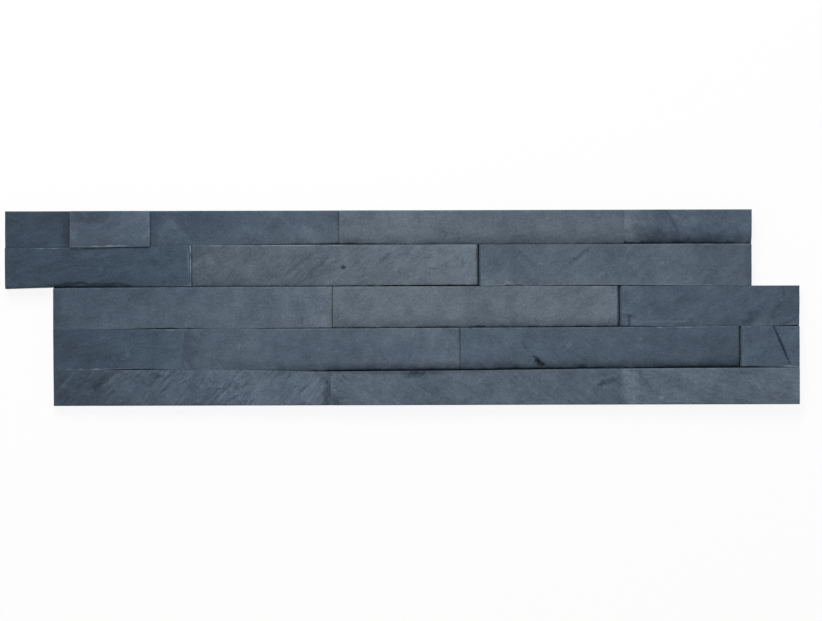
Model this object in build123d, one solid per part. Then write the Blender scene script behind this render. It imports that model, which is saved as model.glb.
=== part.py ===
"""Interlocking slate wall panel, lying face up on its sawn back.

Five courses of riven slate strips are bonded edge to edge by thin adhesive films. The upper two
courses are shifted to the left of the lower three, so both ends are steps that interlock with the
next panel. X runs along the courses, Y up the wall and Z out of the wall. The origin is the middle
of the panel's overall rectangle, on the back.
"""

import os
from math import ceil, cos, pi, radians, sin

from build123d import *

# Panel, millimetres
course_length = 563.8
course_shift = 36.2
course1_height = 25.3
course2_height = 31.0
course3_height = 30.8
course4_height = 31.0
course5_height = 26.7
shifted_courses = 2

# Bed joints: an adhesive film between two courses, hidden from the face and from the back. Each bed's
# line bends at shares of the overall length, where it stands off its level by shares of the rise.
film_thickness = 0.6
film_face_recess = 3.0
film_back_recess = 1.0
bed_rise = 2.0
bed_line_shares = (
    ((0.0, -1.05), (0.17, -0.7), (0.24, 0.0), (1.0, 0.05)),
    ((0.0, -0.9), (0.075, -0.25), (0.3, 0.05), (1.0, 0.0)),
    ((0.0, -0.4), (1.0, 0.4)),
    ((0.0, 0.25), (0.3, 0.2), (0.4, -0.6), (0.6, -0.25), (0.75, 0.25), (1.0, 0.55)),
)

# Head joints: dry butts at the strips' ends, as shares of the course length from its left end
tight_gap = 0.4
open_gap = 1.3
head_joint_shares = (
    (0.0875, 0.1943, 0.4475, 0.8292),
    (0.2498, 0.6343),
    (0.3742, 0.7585),
    (0.1756, 0.5452, 0.9200),
    (0.3712, 0.7599),
)
open_head_joints = {(2, 2), (3, 2), (4, 3)}

# Strips: how far each stands proud of the thinnest, how far its face leans out at the top, and how
# far it climbs from its left end to its right one
thinnest_strip = 11.0
proud_range = 6.0
proud_shares = (
    (0.20, 0.80, 0.32, 0.55, 0.60),
    (0.44, 0.45, 0.42),
    (0.33, 0.58, 0.28),
    (0.20, 0.42, 0.55, 0.24),
    (0.16, 0.28, 0.34),
)
face_lean = 1.1
lean_shares = (
    (0.5, -0.6, 0.1, -0.2, 0.6),
    (0.6, -0.3, -0.2),
    (0.1, -0.5, 0.3),
    (0.5, 0.1, 0.4, 0.2),
    (-0.1, -0.2, -0.4),
)
face_slope = 1.4
slope_shares = (
    (-0.1, 0.2, 0.5, -0.2, 0.3),
    (-0.2, 1.0, -0.3),
    (0.4, -0.2, -0.5),
    (-0.1, 0.4, -0.3, 0.1),
    (0.9, -0.3, 0.2),
)

# Riven faces: two slanting swells, and a lower edge that rolls back where the face was dressed, as
# shares of the drop at the strip's left and right ends
long_swell_length = 150.0
long_swell_height = 0.35
long_swell_angle = 17.0
short_swell_length = 43.0
short_swell_height = 0.16
short_swell_angle = -38.0
phase_turn_share = 0.382
dressed_edge_width = 9.0
dressed_edge_drop = 3.6
dressed_shares = (
    ((0.10, 0.10), (0.00, 0.00), (0.05, 0.30), (0.50, 0.60), (1.00, 0.95)),
    ((0.30, 0.05), (0.55, 0.00), (0.00, 0.05)),
    ((0.05, 0.05), (0.45, 0.60), (0.05, 0.05)),
    ((0.05, 0.05), (0.10, 0.90), (1.00, 0.85), (0.00, 0.00)),
    ((0.15, 0.15), (0.10, 0.10), (0.10, 0.10)),
)
face_pitch = 7.0
face_tolerance = 0.02
cut_overrun = 4.0

# Flakes: layers of the face that split away, inside closed curves through shares of a strip's
# length and height
flake_depth = 0.7
flakes = (
    {"strip": (1, 2), "depth_share": 1.0, "outline_shares": (
        (-0.1, 1.2), (0.7, 1.2), (0.5, 0.78), (0.27, 0.58), (0.08, 0.66), (-0.1, 0.6))},
    {"strip": (2, 1), "depth_share": 2.4, "outline_shares": (
        (0.24, -0.2), (0.74, -0.2), (0.66, 0.03), (0.54, 0.06), (0.4, 0.09), (0.28, 0.06))},
    {"strip": (3, 3), "depth_share": 0.9, "outline_shares": (
        (0.92, -0.1), (1.1, -0.2), (1.1, 0.6), (1.0, 0.4), (0.96, 0.12))},
    {"strip": (3, 3), "depth_share": 1.3, "outline_shares": (
        (-0.1, -0.2), (0.07, -0.2), (0.085, 0.2), (0.05, 0.26), (-0.1, 0.2))},
    {"strip": (4, 3), "depth_share": 0.5, "outline_shares": (
        (0.14, -0.2), (0.36, -0.2), (0.31, 0.12), (0.25, 0.3), (0.2, 0.36), (0.17, 0.14))},
    {"strip": (5, 1), "depth_share": 1.6, "outline_shares": (
        (-0.1, 1.2), (0.26, 1.2), (0.21, 0.72), (0.17, 0.5), (0.16, -0.2), (-0.1, -0.2))},
    {"strip": (5, 2), "depth_share": 0.5, "outline_shares": (
        (0.87, 0.62), (0.94, 0.84), (1.03, 0.8), (0.99, 0.6), (0.92, 0.5))},
)

# Spalls: round chips out of a face's lower arris, at shares of the strip's length
spall_radius = 8.0
spall_depth = 1.1
spall_shares = {(2, 3): (0.11, 0.145), (4, 3): (0.2, 0.44), (1, 5): (0.42,)}

# Grooves: cracks and tool marks of V section between two points of a face, or from past its upper
# edge. The largest is a crack across the short strip of the fourth course.
groove_width = 1.7
groove_depth = 2.2
grooves = (
    {"strip": (4, 4), "head_shares": (0.537, 1.1), "foot_shares": (0.84, 0.06), "size_share": 1.0},
    {"strip": (4, 3), "head_shares": (0.26, 0.3), "foot_shares": (0.305, 0.05), "size_share": 0.8},
    {"strip": (1, 5), "head_shares": (0.305, 1.1), "foot_shares": (0.433, 0.26), "size_share": 0.35},
    {"strip": (3, 3), "head_shares": (0.914, 1.1), "foot_shares": (0.914, 0.65), "size_share": 0.4},
    {"strip": (3, 1), "head_shares": (0.892, 0.25), "foot_shares": (0.892, 0.02), "size_share": 0.4},
)

course_heights = (course1_height, course2_height, course3_height, course4_height, course5_height)
overall_length = course_length + course_shift
panel_height = sum(course_heights) + film_thickness * (len(course_heights) - 1)
swell_height = long_swell_height + short_swell_height
blank_height = thinnest_strip + proud_range + face_lean + face_slope + swell_height


def course_left(course):
    """X of a course's left end. The upper courses start at the panel's left, the others a shift later."""
    shift = 0 if course <= shifted_courses else course_shift
    return shift - overall_length / 2


def bed_height(bed, x):
    """Y of the middle of the film under a course at x. Beds 0 and 5 are the panel's straight edges."""
    if bed == 0:
        return panel_height / 2
    if bed == len(course_heights):
        return -panel_height / 2
    courses_above = sum(course_heights[:bed])
    films_above = film_thickness * (bed - 1) + film_thickness / 2
    along_share = x / overall_length + 1 / 2
    line = bed_line_shares[bed - 1]
    for (start, low), (end, high) in zip(line, line[1:]):
        if along_share <= end:
            break
    rise_share = low + (high - low) * (along_share - start) / (end - start)
    return panel_height / 2 - courses_above - films_above + bed_rise * rise_share


def bed_places(bed, left, right):
    """X of the points of a bed's line between two places: both of them, and the bends between."""
    if bed in (0, len(course_heights)):
        return [left, right]
    bends = [overall_length * (share - 1 / 2) for share, rise_share in bed_line_shares[bed - 1]]
    return [left, *(x for x in bends if left < x < right), right]


class Strip:
    """One slate strip: its outline between two beds and two ends, and its riven face."""

    def __init__(self, course, place):
        self.key = (course, place)
        self.name = f"course{course}_strip{place}"
        self.upper_bed, self.lower_bed = course - 1, course
        self.left = self.end(course, place - 1, 1)
        self.right = self.end(course, place, -1)
        self.length = self.right - self.left
        self.thickness = thinnest_strip + proud_range * proud_shares[course - 1][place - 1]
        self.lean = face_lean * lean_shares[course - 1][place - 1]
        self.slope = face_slope * slope_shares[course - 1][place - 1]
        self.dressed_shares = dressed_shares[course - 1][place - 1]
        self.phase = 2 * pi * phase_turn_share * (course * len(course_heights) + place)

    @staticmethod
    def end(course, joint, side):
        """X of a strip's end at a joint. Side is 1 for the strip on the joint's right, -1 on its left."""
        joints = head_joint_shares[course - 1]
        if joint == 0:
            return course_left(course)
        if joint > len(joints):
            return course_left(course) + course_length
        gap = open_gap if (course, joint) in open_head_joints else tight_gap
        return course_left(course) + course_length * joints[joint - 1] + side * gap / 2

    def bottom(self, x):
        edge = self.lower_bed == len(course_heights)
        return bed_height(self.lower_bed, x) + (0 if edge else film_thickness / 2)

    def top(self, x):
        edge = self.upper_bed == 0
        return bed_height(self.upper_bed, x) - (0 if edge else film_thickness / 2)

    def point(self, along_share, up_share):
        """X and Y at shares of the strip's length and of its height there."""
        x = self.left + self.length * along_share
        low, high = self.bottom(x), self.top(x)
        return x, low + (high - low) * up_share

    def face_height(self, x, y):
        """Height of the riven face above the back at x and y."""
        low, high = self.bottom(x), self.top(x)
        up_share = (y - low) / (high - low)
        along_share = (x - self.left) / self.length
        long_way = x * cos(radians(long_swell_angle)) + y * sin(radians(long_swell_angle))
        short_way = x * cos(radians(short_swell_angle)) + y * sin(radians(short_swell_angle))
        swell = long_swell_height * sin(2 * pi * long_way / long_swell_length + self.phase)
        swell += short_swell_height * sin(2 * pi * short_way / short_swell_length + 2 * self.phase)
        plane = self.thickness + self.lean * (up_share - 0.5) + self.slope * (along_share - 0.5)
        left_share, right_share = self.dressed_shares
        dressed = dressed_edge_drop * (left_share + (right_share - left_share) * along_share)
        roll_share = max(0, 1 - (y - low) / dressed_edge_width)
        return plane + swell - max(0, dressed) * roll_share**2

    def outline(self):
        low = [(x, self.bottom(x)) for x in bed_places(self.lower_bed, self.left, self.right)]
        high = [(x, self.top(x)) for x in bed_places(self.upper_bed, self.left, self.right)]
        return make_face(Polyline(*low, *reversed(high), close=True))

    def above_face(self, depth=0):
        """Everything over the riven face, or over the same face split off to a depth."""
        low = min(self.bottom(x) for x in bed_places(self.lower_bed, self.left, self.right)) - cut_overrun
        high = max(self.top(x) for x in bed_places(self.upper_bed, self.left, self.right)) + cut_overrun
        left, right = self.left - cut_overrun, self.right + cut_overrun
        columns = ceil((right - left) / face_pitch)
        rows = ceil((high - low) / face_pitch)
        points = []
        for row in range(rows + 1):
            y = low + (high - low) * row / rows
            places = [left + (right - left) * column / columns for column in range(columns + 1)]
            points.append([(x, y, self.face_height(x, y) - depth) for x in places])
        surface = Face.make_surface_from_array_of_points(points, tol=face_tolerance)
        return Solid.extrude(surface, (0, 0, blank_height))


def flake_cut(strip, flake):
    """The layer that split away inside a closed curve on the strip's face."""
    points = [strip.point(*shares) for shares in flake["outline_shares"]]
    outline = make_face(Spline(*points, periodic=True))
    return strip.above_face(flake_depth * flake["depth_share"]) & extrude(outline, amount=2 * blank_height)


def spall_cut(strip, along_share):
    """A ball that bites into the lower arris, from below and in front of it."""
    x, y = strip.point(along_share, 0)
    reach = (spall_radius - spall_depth) * cos(radians(45))
    return Pos(x, y - reach, strip.face_height(x, y) + reach) * Sphere(spall_radius)


def groove_cut(strip, groove):
    """A groove of V section that follows the face from its head to its foot."""
    width = groove_width * groove["size_share"]
    depth = groove_depth * groove["size_share"]
    head_place, foot_place = strip.point(*groove["head_shares"]), strip.point(*groove["foot_shares"])
    head = Vector(*head_place, strip.face_height(*head_place))
    foot = Vector(*foot_place, strip.face_height(*foot_place))
    way = (foot - head).normalized()
    section = Plane(origin=head, x_dir=(-way.Y, way.X, 0), z_dir=way)
    flare = width * (1 + cut_overrun / depth) / 2
    corners = ((-flare, cut_overrun), (flare, cut_overrun), (0, -depth))
    if section.y_dir.Z < 0:
        corners = tuple((across, -up) for across, up in corners)
    outline = section * make_face(Polyline(*corners, close=True))
    return Solid.extrude(outline.face(), foot - head)


def slate_strip(strip):
    """A sawn blank with its face riven, then flaked, spalled and grooved where this strip is."""
    stone = extrude(strip.outline(), amount=blank_height) - strip.above_face()
    for flake in flakes:
        if flake["strip"] == strip.key:
            stone -= flake_cut(strip, flake)
    for along_share in spall_shares.get(strip.key, ()):
        stone -= spall_cut(strip, along_share)
    for groove in grooves:
        if groove["strip"] == strip.key:
            stone -= groove_cut(strip, groove)
    return stone


def bed_film(bed):
    """The adhesive in the joint under a course, as long as the two courses overlap."""
    left = max(course_left(bed), course_left(bed + 1))
    right = min(course_left(bed), course_left(bed + 1)) + course_length
    half = film_thickness / 2
    places = bed_places(bed, left, right)
    low = [(x, bed_height(bed, x) - half) for x in places]
    high = [(x, bed_height(bed, x) + half) for x in places]
    depth = thinnest_strip - film_face_recess - film_back_recess
    outline = make_face(Polyline(*low, *reversed(high), close=True))
    return Pos(0, 0, film_back_recess) * extrude(outline, amount=depth)


def write(node, shape):
    shape.label = node
    export_step(shape, f"parts/{node}.step")


os.makedirs("parts", exist_ok=True)
for course, joints in enumerate(head_joint_shares, start=1):
    for place in range(1, len(joints) + 2):
        strip = Strip(course, place)
        write(strip.name, slate_strip(strip))
for bed in range(1, len(course_heights)):
    write(f"bed_film{bed}", bed_film(bed))
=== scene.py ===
"""Looks of an interlocking slate wall panel: riven strips, adhesive films, floor, light and camera.

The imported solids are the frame. Each strip gets a face that follows its solid and adds the relief of
split slate, with sawn edges and a sawn back.
"""

import math
from dataclasses import dataclass

import bmesh
import bpy
import numpy as np
from bpy.props import FloatProperty, FloatVectorProperty, IntProperty, PointerProperty
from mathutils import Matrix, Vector
from mathutils.bvhtree import BVHTree


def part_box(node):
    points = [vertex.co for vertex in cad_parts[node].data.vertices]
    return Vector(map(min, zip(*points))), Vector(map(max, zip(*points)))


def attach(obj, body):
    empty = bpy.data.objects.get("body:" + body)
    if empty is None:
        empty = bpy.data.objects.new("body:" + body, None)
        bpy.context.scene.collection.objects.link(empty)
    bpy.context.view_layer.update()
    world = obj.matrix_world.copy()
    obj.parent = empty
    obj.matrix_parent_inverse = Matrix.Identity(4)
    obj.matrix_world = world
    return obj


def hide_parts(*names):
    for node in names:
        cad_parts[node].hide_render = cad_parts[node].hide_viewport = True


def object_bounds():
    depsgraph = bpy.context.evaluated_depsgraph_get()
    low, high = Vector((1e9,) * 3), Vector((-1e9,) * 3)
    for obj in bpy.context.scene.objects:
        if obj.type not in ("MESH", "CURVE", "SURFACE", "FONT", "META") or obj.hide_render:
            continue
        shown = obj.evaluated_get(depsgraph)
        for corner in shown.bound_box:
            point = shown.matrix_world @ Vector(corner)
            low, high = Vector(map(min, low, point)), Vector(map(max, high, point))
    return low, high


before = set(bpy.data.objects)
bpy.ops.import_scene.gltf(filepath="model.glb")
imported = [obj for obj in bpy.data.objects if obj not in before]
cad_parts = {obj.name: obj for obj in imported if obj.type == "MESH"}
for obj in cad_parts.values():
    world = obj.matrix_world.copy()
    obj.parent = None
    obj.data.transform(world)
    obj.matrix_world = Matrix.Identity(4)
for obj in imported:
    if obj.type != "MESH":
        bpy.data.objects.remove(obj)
cad_low, cad_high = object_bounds()

bl_info = {
    "name": "Slate Wall Panel",
    "version": (1, 0, 0),
    "blender": (4, 5, 0),
    "location": "View3D > Sidebar > Slate Panel",
    "description": "Dresses a stepped panel of riven slate strips",
    "category": "Add Mesh",
}

COURSES = 5

# Width and centre of the camera's view of the panel, in metres, its roll, in degrees, and its reach
VIEW_WIDTH = 0.6219
VIEW_CENTRE = (0.0065, -0.0021)
VIEW_ROLL = -0.15
VIEW_REACH = 100
WHITE = (1.0, 1.0, 1.0, 1.0)

# Way of the rays that look for a solid's face, and where those for the next course's start
DOWN = Vector((0, 0, -1))
RAY_START = 1.0
# How open a free edge or end counts as
FREE_OPENING = 0.5
# Materials of a strip's mesh, in order, and the angle between two faces that makes their edge sharp
FACE, EDGES, BACK = range(3)
SHARP_ANGLE = math.radians(48)
SLATE_SPECULAR = 0.12
ADHESIVE_SPECULAR = 0.15


@dataclass
class Finish:
    """What sets one strip's face apart. A tuple holds values at even steps from its left end to its right,
    and may hold just one."""

    tones: tuple
    streak_angle: float
    # Painted shade: the tone lighter at one long edge and darker at the other, as a leaning face is lit
    lean_shading: float = 0.0
    streaks: float = 0.15
    ridges: tuple = (0.0,)
    sheets: float = 0.5
    grey: tuple = (0.45,)
    bed_opening: tuple = (0.2,)
    head_opening: float = 0.0
    lower_roll: tuple = (0.0,)
    lower_wear: tuple = (0.0,)
    # Paling of the upper arris: partly broken stone, partly a painted highlight where it faces the light
    upper_wear: tuple = (0.1,)
    left_wear: float = 0.15
    right_wear: float = 0.15


# Tones are shares of the slate colours. A strip's lean is painted shade: the share that a tone gains at the
# upper edge and loses at the lower one, standing in for the light that a leaning face catches. Angles are
# degrees up from the strip's length, and the rest are shares of the sizes and strengths further down; the
# paling of the upper arris is partly broken stone and partly a painted highlight where it faces the light.
# Openings are those of the bed joint under the strip and of the head joint at its right end.
FINISHES = {
    "course1_strip1": Finish(
        (0.54, 0.58, 0.52), 25, lean_shading=-0.06, streaks=0.4, grey=(0.14,), bed_opening=(0.0, 0.0, 0.1)),
    "course1_strip2": Finish(
        (0.85, 0.70, 0.76, 0.79, 0.94), 30, lean_shading=0.05, streaks=0.35, grey=(0.48,),
        bed_opening=(0.06, 0.04, 0.14, 0.03), lower_wear=(0.5, 0.9, 0.2), left_wear=0.3, right_wear=0.4),
    "course1_strip3": Finish(
        (0.78, 0.74, 0.90, 0.98, 1.02), -35, lean_shading=-0.05, grey=(0.4, 0.4, 0.48, 0.62),
        bed_opening=(0.0, 0.02, 0.2, 0.4), head_opening=0.4, lower_wear=(0.0, 0.1, 0.4, 0.0)),
    "course1_strip4": Finish(
        (1.08, 1.24, 1.06, 1.07, 1.03), 10, lean_shading=-0.02, grey=(0.78,),
        bed_opening=(0.38, 0.15, 0.1, 0.12, 0.08, 0.2), lower_roll=(0.5,)),
    "course1_strip5": Finish(
        (1.30, 0.92, 1.09, 0.78, 1.10), -58, streaks=0.4, ridges=(0.5,), sheets=0.8,
        grey=(0.75, 0.42, 0.4, 0.38), bed_opening=(0.5, 0.22, 0.22, 0.14), lower_roll=(0.4, 0.7, 0.8, 0.6)),
    "course2_strip1": Finish(
        (0.56, 0.62, 0.74), 15, streaks=0.45, grey=(0.27,), bed_opening=(0.4, 0.6, 0.25, 0.2),
        head_opening=0.7, lower_wear=(0.0, 0.0, 0.0, 0.6), upper_wear=(0.1, 0.8, 0.2, 0.2), right_wear=1.0),
    "course2_strip2": Finish(
        (0.90, 1.13, 1.40), 36, streaks=0.45, ridges=(0.4, 0.3), grey=(0.7,),
        bed_opening=(0.15, 0.2, 0.33, 0.6), head_opening=2.4, lower_wear=(0.0, 0.0, 0.5, 0.9, 0.2),
        upper_wear=(0.5, 0.5, 0.9, 0.3, 0.1, 0.2)),
    "course2_strip3": Finish(
        (1.07, 0.97, 1.16, 1.04, 0.85), 40, lean_shading=-0.05, streaks=0.3, grey=(0.56,),
        bed_opening=(0.14, 0.1, 0.26, 0.18, 0.06, 0.0), lower_wear=(0.6, 0.5, 0.8, 0.5, 0.6, 0.0),
        upper_wear=(0.1, 0.2, 0.1, 0.5, 0.5)),
    "course3_strip1": Finish(
        (0.73, 0.88, 0.93, 1.08, 1.29), 5, grey=(0.46, 0.48, 0.54, 0.64),
        bed_opening=(0.0, 0.04, 0.3, 0.0, 0.15, 0.22), head_opening=0.9, lower_wear=(0.0, 0.0, 0.1, 0.3),
        upper_wear=(0.25,), right_wear=0.3),
    "course3_strip2": Finish(
        (1.24, 1.27, 1.17, 1.27, 1.33), 30, grey=(0.8,), bed_opening=(0.22, 0.2, 0.26, 0.23, 0.25),
        head_opening=2.4, lower_roll=(0.35,), upper_wear=(0.15, 0.3, 0.1, 0.2, 0.5)),
    "course3_strip3": Finish(
        (1.06, 0.89, 0.86, 0.92, 0.77), 26, streaks=0.45, grey=(0.42,),
        bed_opening=(0.3, 0.1, 0.0, 0.05, 0.3), lower_wear=(0.3, 0.5, 0.1, 0.4, 0.8)),
    "course4_strip1": Finish(
        (0.54, 0.63, 0.67, 0.72, 0.93), 10, lean_shading=-0.05, streaks=0.45, grey=(0.33,),
        bed_opening=(0.0, 0.0, 0.0, 0.25, 0.25, 0.12, 0.0), lower_wear=(0.3, 0.6, 0.7, 0.2, 0.1),
        upper_wear=(0.2, 0.3, 0.5)),
    "course4_strip2": Finish(
        (0.93, 0.98, 0.97, 1.09, 1.17), -6, lean_shading=0.04, grey=(0.5,),
        bed_opening=(0.0, 0.0, 0.1, 0.5, 0.6, 0.6), head_opening=0.8,
        lower_roll=(0.0, 0.0, 0.1, 0.5, 0.6, 0.4), upper_wear=(0.5, 0.4, 0.5, 0.2, 0.2, 0.1)),
    "course4_strip3": Finish(
        (1.02, 0.78), -30, sheets=0.7, grey=(0.42,), bed_opening=(0.45, 0.5, 0.45, 0.2, 0.45, 0.45),
        head_opening=1.9, lower_roll=(0.1, 0.5, 0.6, 0.5, 0.9, 0.9), upper_wear=(0.1, 0.2, 0.1, 0.6, 0.4)),
    "course4_strip4": Finish(
        (1.0, 0.82, 1.0), 20, grey=(0.36,), bed_opening=(0.5, 0.3, 0.05), lower_wear=(0.2, 0.7, 1.0),
        upper_wear=(0.6, 0.2)),
    "course5_strip1": Finish(
        (0.74, 0.86, 1.04, 1.26, 1.14), 52, streaks=0.6, ridges=(0.4, 0.9, 1.4, 1.5, 1.4, 1.2),
        sheets=0.3, grey=(0.46,), head_opening=0.2, upper_wear=(0.0,)),
    "course5_strip2": Finish(
        (1.13, 1.06, 1.10, 1.06, 0.95), -38, streaks=0.5, ridges=(1.0, 0.5, 0.4), grey=(0.52,),
        upper_wear=(0.0,)),
    "course5_strip3": Finish(
        (1.13, 1.14, 1.27), -14, streaks=0.5, ridges=(0.4,), grey=(0.53,), upper_wear=(0.2, 0.4, 0.1)),
}


@dataclass
class Mark:
    """A mark on a strip's face, as a ragged ellipse at shares of its length and height: a discoloured patch,
    scar or chip, or a patch of painted shade.
    """

    along: float
    up: float
    length: float
    width: float
    turn: float = 0.0
    tone: float = 0.0
    depth: float = 0.0
    wear: float = 0.0
    soft: float = 0.6
    ragged: float = 0.45


def soft_mark(*place, **looks):
    """A mark with a soft edge."""
    return Mark(*place, soft=0.9, **looks)


# Lengths, widths and depths are metres, turns are degrees and tones are shares added to the face's own.
# Some dark marks are painted shade beside prouder strips and along recessed edges; each is noted.
MARKS = {
    "course1_strip1": (
        # Painted shade at the right end, beside the prouder course1_strip2
        Mark(0.96, 0.5, 0.030, 0.009, turn=90, tone=-0.18),
        Mark(0.55, 0.42, 0.034, 0.004, turn=25, tone=0.08),
        Mark(0.8, 0.06, 0.016, 0.002, turn=4, tone=0.2),
    ),
    "course1_strip2": (
        Mark(0.2, 0.86, 0.036, 0.013, turn=8, tone=-0.2),
        Mark(0.05, 0.4, 0.010, 0.007, turn=80, tone=0.15),
        Mark(0.82, 0.55, 0.026, 0.022, tone=0.08),
        Mark(0.94, 0.27, 0.003, 0.003, tone=0.3),
    ),
    "course1_strip3": (
        # Painted shade at the left end, beside the prouder course1_strip2
        Mark(0.015, 0.5, 0.030, 0.010, turn=90, tone=-0.15),
        Mark(0.15, 0.42, 0.026, 0.005, turn=-42, tone=0.15),
        soft_mark(0.1, 0.4, 0.020, 0.014, tone=0.1),
        soft_mark(0.27, 0.62, 0.024, 0.016, turn=-40, tone=-0.1),
        soft_mark(0.83, 0.34, 0.026, 0.009, turn=-20, tone=0.1),
        Mark(0.67, 0.62, 0.012, 0.009, tone=-0.12),
        Mark(0.74, 0.25, 0.013, 0.004, turn=-40, tone=0.12),
    ),
    "course1_strip5": (
        # Painted shade: darker along the recessed lower edge
        soft_mark(0.31, 0.17, 0.056, 0.013, turn=-10, tone=-0.27),
        Mark(0.38, 0.63, 0.021, 0.0026, turn=-60, tone=-0.25),
        soft_mark(0.58, 0.28, 0.020, 0.012, turn=-30, tone=-0.2),
        # Painted shade: darker along the recessed lower edge
        soft_mark(0.8, 0.16, 0.036, 0.010, turn=4, tone=-0.12),
        soft_mark(0.48, 0.6, 0.018, 0.012, turn=-30, tone=0.12),
    ),
    "course2_strip1": (
        Mark(0.516, 0.46, 0.004, 0.004, tone=0.3),
        Mark(0.17, 0.58, 0.032, 0.004, turn=20, tone=0.08),
        Mark(0.64, 0.7, 0.024, 0.008, tone=-0.08),
        soft_mark(0.84, 0.77, 0.012, 0.008, turn=-50, tone=0.2),
        soft_mark(0.08, 0.1, 0.020, 0.006, tone=0.2),
        Mark(0.02, 0.22, 0.005, 0.0014, tone=0.35),
        Mark(0.984, 0.48, 0.031, 0.0011, turn=91, tone=0.45),
    ),
    "course2_strip2": (
        Mark(0.53, 0.44, 0.0034, 0.0029, tone=-0.75, depth=0.0004, soft=0.8, ragged=0.3),
        Mark(0.825, 0.68, 0.008, 0.0018, tone=-0.25),
        Mark(0.84, 0.41, 0.006, 0.0018, tone=-0.25),
        Mark(0.948, 0.54, 0.006, 0.0018, turn=85, tone=-0.25),
        Mark(0.43, 0.39, 0.024, 0.003, turn=42, tone=-0.2),
        Mark(0.38, 0.58, 0.028, 0.003, turn=40, tone=-0.18),
        Mark(0.675, 0.68, 0.013, 0.0035, turn=40, tone=-0.2),
        Mark(0.06, 0.62, 0.010, 0.006, turn=-50, tone=0.2),
        Mark(0.58, 0.96, 0.10, 0.0012, tone=0.08),
    ),
    "course2_strip3": (
        Mark(0.38, 0.78, 0.016, 0.003, turn=38, tone=-0.25),
        Mark(0.345, 0.6, 0.008, 0.003, turn=38, tone=-0.18),
        Mark(0.17, 0.68, 0.016, 0.003, turn=-45, tone=-0.15),
        soft_mark(0.112, 0.04, 0.008, 0.004, turn=-20, tone=0.12, wear=0.5),
        soft_mark(0.142, 0.04, 0.005, 0.003, tone=0.15, wear=0.5),
        Mark(0.67, 0.53, 0.003, 0.004, tone=0.2),
        Mark(0.988, 0.5, 0.032, 0.006, turn=90, tone=-0.12),
    ),
    "course3_strip1": (
        Mark(0.01, 0.5, 0.032, 0.008, turn=90, tone=-0.15),
        Mark(0.893, 0.16, 0.008, 0.0016, turn=88, tone=-0.3),
    ),
    "course3_strip2": (
        Mark(0.5, 0.55, 0.020, 0.024, tone=-0.06),
    ),
    "course3_strip3": (
        Mark(0.05, 0.14, 0.009, 0.0022, turn=90, tone=-0.45, depth=0.0003),
        Mark(0.24, 0.11, 0.044, 0.0014, turn=1, tone=0.2, wear=0.25),
        soft_mark(0.735, 0.22, 0.018, 0.006, turn=40, tone=-0.3),
        soft_mark(0.86, 0.35, 0.016, 0.004, turn=60, tone=-0.22),
        Mark(0.92, 0.55, 0.015, 0.008, turn=30, tone=-0.12),
        Mark(0.914, 0.82, 0.011, 0.0014, turn=90, tone=-0.25),
        Mark(0.965, 0.15, 0.010, 0.008, turn=40, tone=0.2),
    ),
    "course4_strip1": (
        Mark(0.57, 0.38, 0.005, 0.006, tone=0.3),
        Mark(0.46, 0.3, 0.003, 0.003, tone=0.3),
        Mark(0.1, 0.03, 0.010, 0.003, tone=0.2),
    ),
    "course4_strip2": (
        Mark(0.018, 0.55, 0.034, 0.010, turn=95, tone=-0.2),
        Mark(0.196, 0.6, 0.004, 0.006, tone=0.2),
    ),
    "course4_strip3": (
        Mark(0.273, 0.24, 0.006, 0.003, turn=-40, tone=-0.5, depth=0.0003),
        Mark(0.285, 0.13, 0.008, 0.0036, turn=-35, tone=-0.75, depth=0.0004),
        Mark(0.231, 0.56, 0.008, 0.003, turn=-60, tone=-0.25),
        Mark(0.39, 0.57, 0.011, 0.003, turn=55, tone=0.2),
        Mark(0.645, 0.7, 0.004, 0.003, tone=0.2),
        Mark(0.64, 0.53, 0.004, 0.003, tone=0.2),
        Mark(0.83, 0.12, 0.008, 0.006, tone=0.15),
    ),
    "course4_strip4": (
        Mark(0.69, 0.56, 0.032, 0.0017, turn=-67, tone=-0.75, soft=0.5),
    ),
    "course5_strip1": (
        soft_mark(0.09, 0.4, 0.044, 0.034, turn=55, tone=-0.2),
        soft_mark(0.19, 0.76, 0.022, 0.006, turn=40, tone=-0.3),
        Mark(0.05, 0.72, 0.020, 0.0018, turn=45, tone=0.25),
        Mark(0.04, 0.56, 0.004, 0.003, tone=0.3),
        Mark(0.125, 0.36, 0.003, 0.003, tone=0.25),
        Mark(0.59, 0.24, 0.010, 0.002, turn=55, tone=-0.3),
        soft_mark(0.62, 0.3, 0.018, 0.012, turn=60, tone=0.15),
        soft_mark(0.35, 0.74, 0.016, 0.009, turn=45, tone=-0.2),
        soft_mark(0.445, 0.92, 0.010, 0.006, turn=30, tone=-0.2),
        soft_mark(0.8, 0.9, 0.014, 0.005, turn=10, tone=-0.18),
        soft_mark(0.972, 0.82, 0.012, 0.004, turn=-45, tone=-0.25),
        # Painted shade at the right end, in the hollow of the head joint
        soft_mark(0.990, 0.38, 0.022, 0.006, turn=84, tone=-0.4),
        soft_mark(0.81, 0.5, 0.030, 0.018, turn=50, tone=-0.1),
    ),
    "course5_strip2": (
        soft_mark(0.012, 0.16, 0.012, 0.006, turn=-50, tone=-0.3),
        soft_mark(0.29, 0.91, 0.015, 0.006, tone=-0.4),
        # Painted shade along the upper edge, under the bed joint
        soft_mark(0.28, 0.97, 0.14, 0.0034, turn=0.5, tone=-0.28),
        Mark(0.955, 0.64, 0.014, 0.004, turn=20, tone=-0.3),
        soft_mark(0.925, 0.5, 0.010, 0.005, turn=35, tone=-0.22),
    ),
    "course5_strip3": (
        soft_mark(0.055, 0.45, 0.034, 0.010, turn=98, tone=0.23),
        soft_mark(0.14, 0.6, 0.022, 0.004, turn=-55, tone=-0.15),
        Mark(0.23, 0.2, 0.003, 0.003, tone=0.3),
    ),
}


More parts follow.
